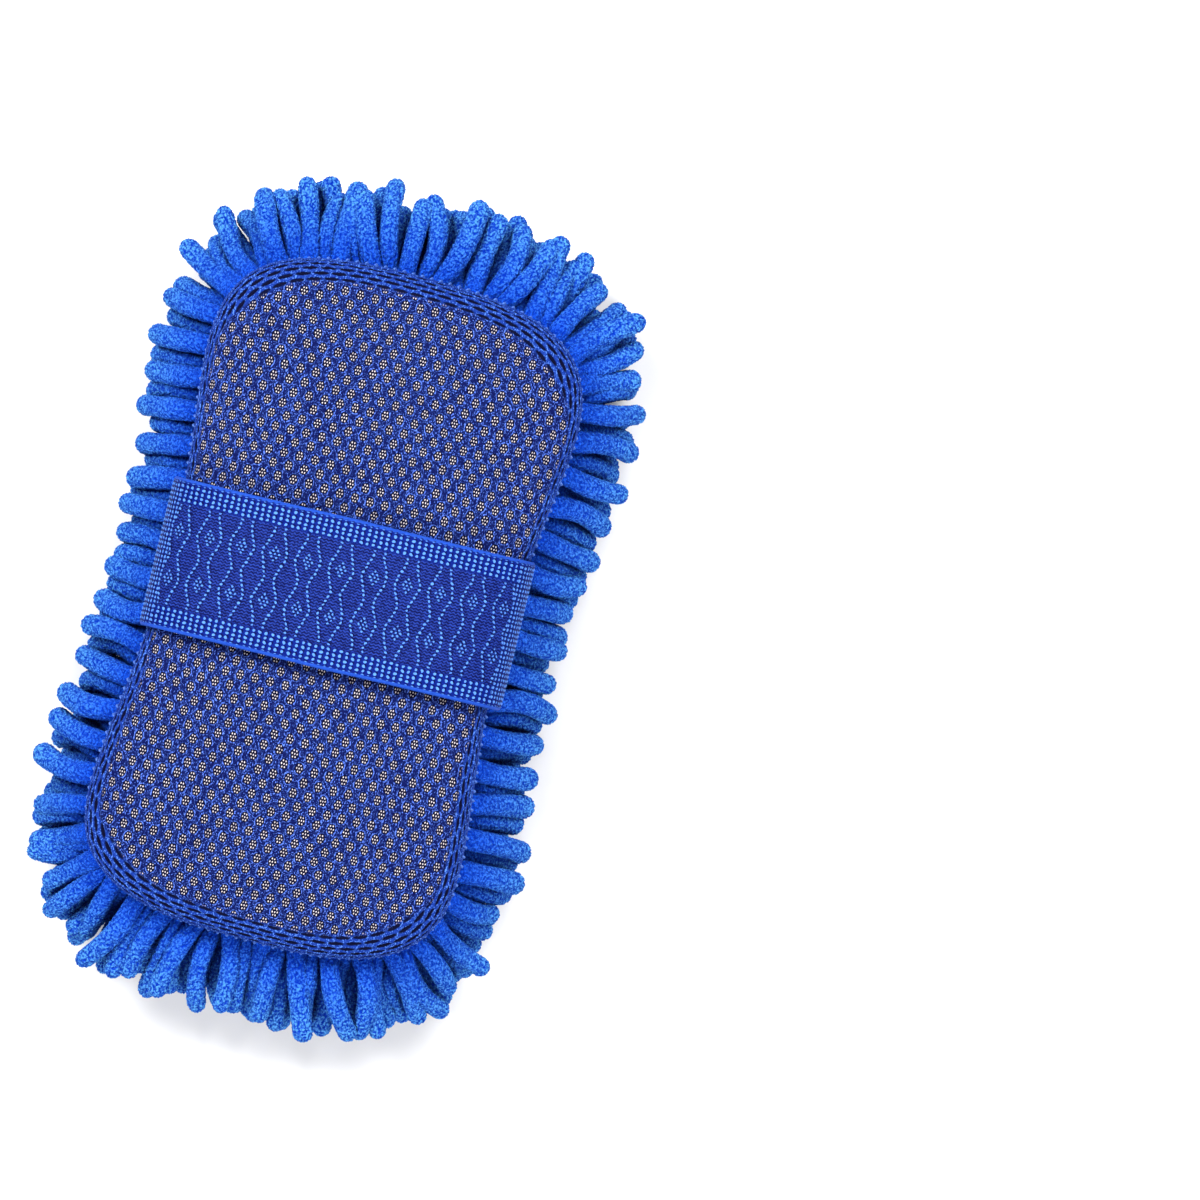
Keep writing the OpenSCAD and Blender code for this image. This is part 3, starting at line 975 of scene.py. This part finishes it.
def make_strap(side, name):
    """Half of the elastic, from the middle of the mitt to its seam on that side."""
    a = np.radians(np.linspace(90, -3.0, 4000))
    y, z = strap_place(a, 0)
    run = walk_along(y, z)
    rows = round(run[-1] / STRAP_CELL)
    along = np.linspace(0, run[-1], rows)
    angle = np.interp(along, run, a)
    half = STRAP_W / 2
    columns = round(STRAP_W / STRAP_CELL)
    top = np.linspace(-half, half, columns)
    around = np.concatenate([top, top[::-1]])
    face = np.concatenate([np.ones(columns), -np.ones(columns)])
    from_end = np.repeat((run[-1] - 3 * MM - along)[:, None], len(around), 1) / MM
    s = np.repeat(along[:, None], len(around), 1) / MM * side
    v = np.repeat(around[None, :], rows, 0) / MM
    from_edge = np.clip(np.abs(v) - (half / MM - EDGE_MM), 0, EDGE_MM)
    rounded_edge = np.sqrt(np.clip(1 - (from_edge / 0.95) ** 2, 0.02, 1))
    narrow = 1 - 0.012 * np.sin(np.clip(along / run[-1], 0, 1) * math.pi)[:, None]
    beads = strap_beads(s, v, from_end)
    lift = (STRAP_T / 2 * rounded_edge - BEAD_HEIGHT + beads * BEAD_HEIGHT) * face
    yy, zz = strap_place(angle[:, None], lift)
    x = np.broadcast_to(around[None, :] * narrow, yy.shape)
    points = np.stack([x, yy * side, zz], -1).reshape(-1, 3)
    points = points @ np.array(Matrix.Rotation(STRAP_TURN, 3, "Z")).T + [STRAP_X, 0, 0]
    faces = strip_faces(rows, len(around))
    piece = add_mesh(name, points, faces if side < 0 else faces[:, ::-1], STRAP)
    add_values(piece, "flat", np.stack([s, v, from_end], -1), "FLOAT_VECTOR")
    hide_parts("strap_middle", "strap_leg_left" if side > 0 else "strap_leg_right")
    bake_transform(piece)


# ---- The mitt ----

make_pile()

panel = fabric("mesh_back", crown_profile(), 0.62 * MM, mesh_material(), 1, mesh_relief, 0.7 * MM)
follow_foam(panel, *make_foam())
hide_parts("back_mesh")
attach(panel, "root")

ground = fabric("knit_front", low_profile(), 1.1 * MM, GROUND, -1, ground_relief)
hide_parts("pile_ground")
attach(ground, "root")

make_seam()
make_strap(1, "strap_left_half")
make_strap(-1, "strap_right_half")

# ---- Floor, light and camera ----

VIEW_RIGHT = Vector((0.2588, -0.9659, 0))
VIEW_UP = Vector((0.9659, 0.2588, 0))
VIEW_CENTRE = Vector((25.1 * MM, -83.3 * MM, MESH_TOP))
VIEW_WIDTH = 389.6 * MM
VIEW_DISTANCE = 2.5


def make_floor():
    half = 4.0
    corners = [(-half, -half, 0), (half, -half, 0), (half, half, 0), (-half, half, 0)]
    floor = add_mesh("floor", corners, [[0, 1, 2, 3]], floor_material(), smooth=False)


def add_light(name, place, size, power):
    data = bpy.data.lights.new(name, "AREA")
    data.shape, data.size, data.energy = "DISK", size, power
    light = bpy.data.objects.new(name, data)
    light.location = place
    ahead = Vector((0, 0, 0.04)) - place
    light.rotation_euler = ahead.to_track_quat("-Z", "Y").to_euler()
    bpy.context.scene.collection.objects.link(light)


def make_world():
    """A dim studio with a white wall all round, as high as a low view sees."""
    world = bpy.data.worlds.new("studio")
    world.use_nodes = True
    tree = world.node_tree
    parts = tree.nodes.new("ShaderNodeSeparateXYZ")
    tree.links.new(tree.nodes.new("ShaderNodeTexCoord").outputs["Generated"], parts.inputs[0])
    rise = Wire(tree, parts.outputs["Z"])
    back = tree.nodes["Background"]
    back.inputs["Color"].default_value = (1, 1, 1, 1)
    join(tree, ease(rise, 0.32, 0.16) * 0.85 + 0.2, back.inputs["Strength"])
    bpy.context.scene.world = world


def make_camera():
    data = bpy.data.cameras.new("camera")
    data.sensor_width = 36
    data.lens = data.sensor_width * VIEW_DISTANCE / VIEW_WIDTH
    data.clip_end = 20
    camera = bpy.data.objects.new("camera", data)
    axes = Matrix((VIEW_RIGHT, VIEW_UP, VIEW_RIGHT.cross(VIEW_UP))).transposed()
    camera.matrix_world = axes.to_4x4()
    camera.location = VIEW_CENTRE + Vector((0, 0, VIEW_DISTANCE))
    bpy.context.scene.collection.objects.link(camera)
    bpy.context.scene.camera = camera


make_floor()
make_world()
for name, up, right, power in (("key", 0.7, -0.6, 31), ("side", 0.6, 0.5, 19),
                               ("fill", -0.6, 0.5, 8), ("back", -1.1, -0.4, 10)):
    place = VIEW_UP * up + VIEW_RIGHT * right + Vector((0, 0, 1.4 + 0.2 * up))
    add_light(name, place, 0.7, power)
make_camera()
bpy.context.scene.view_settings.view_transform = "Standard"
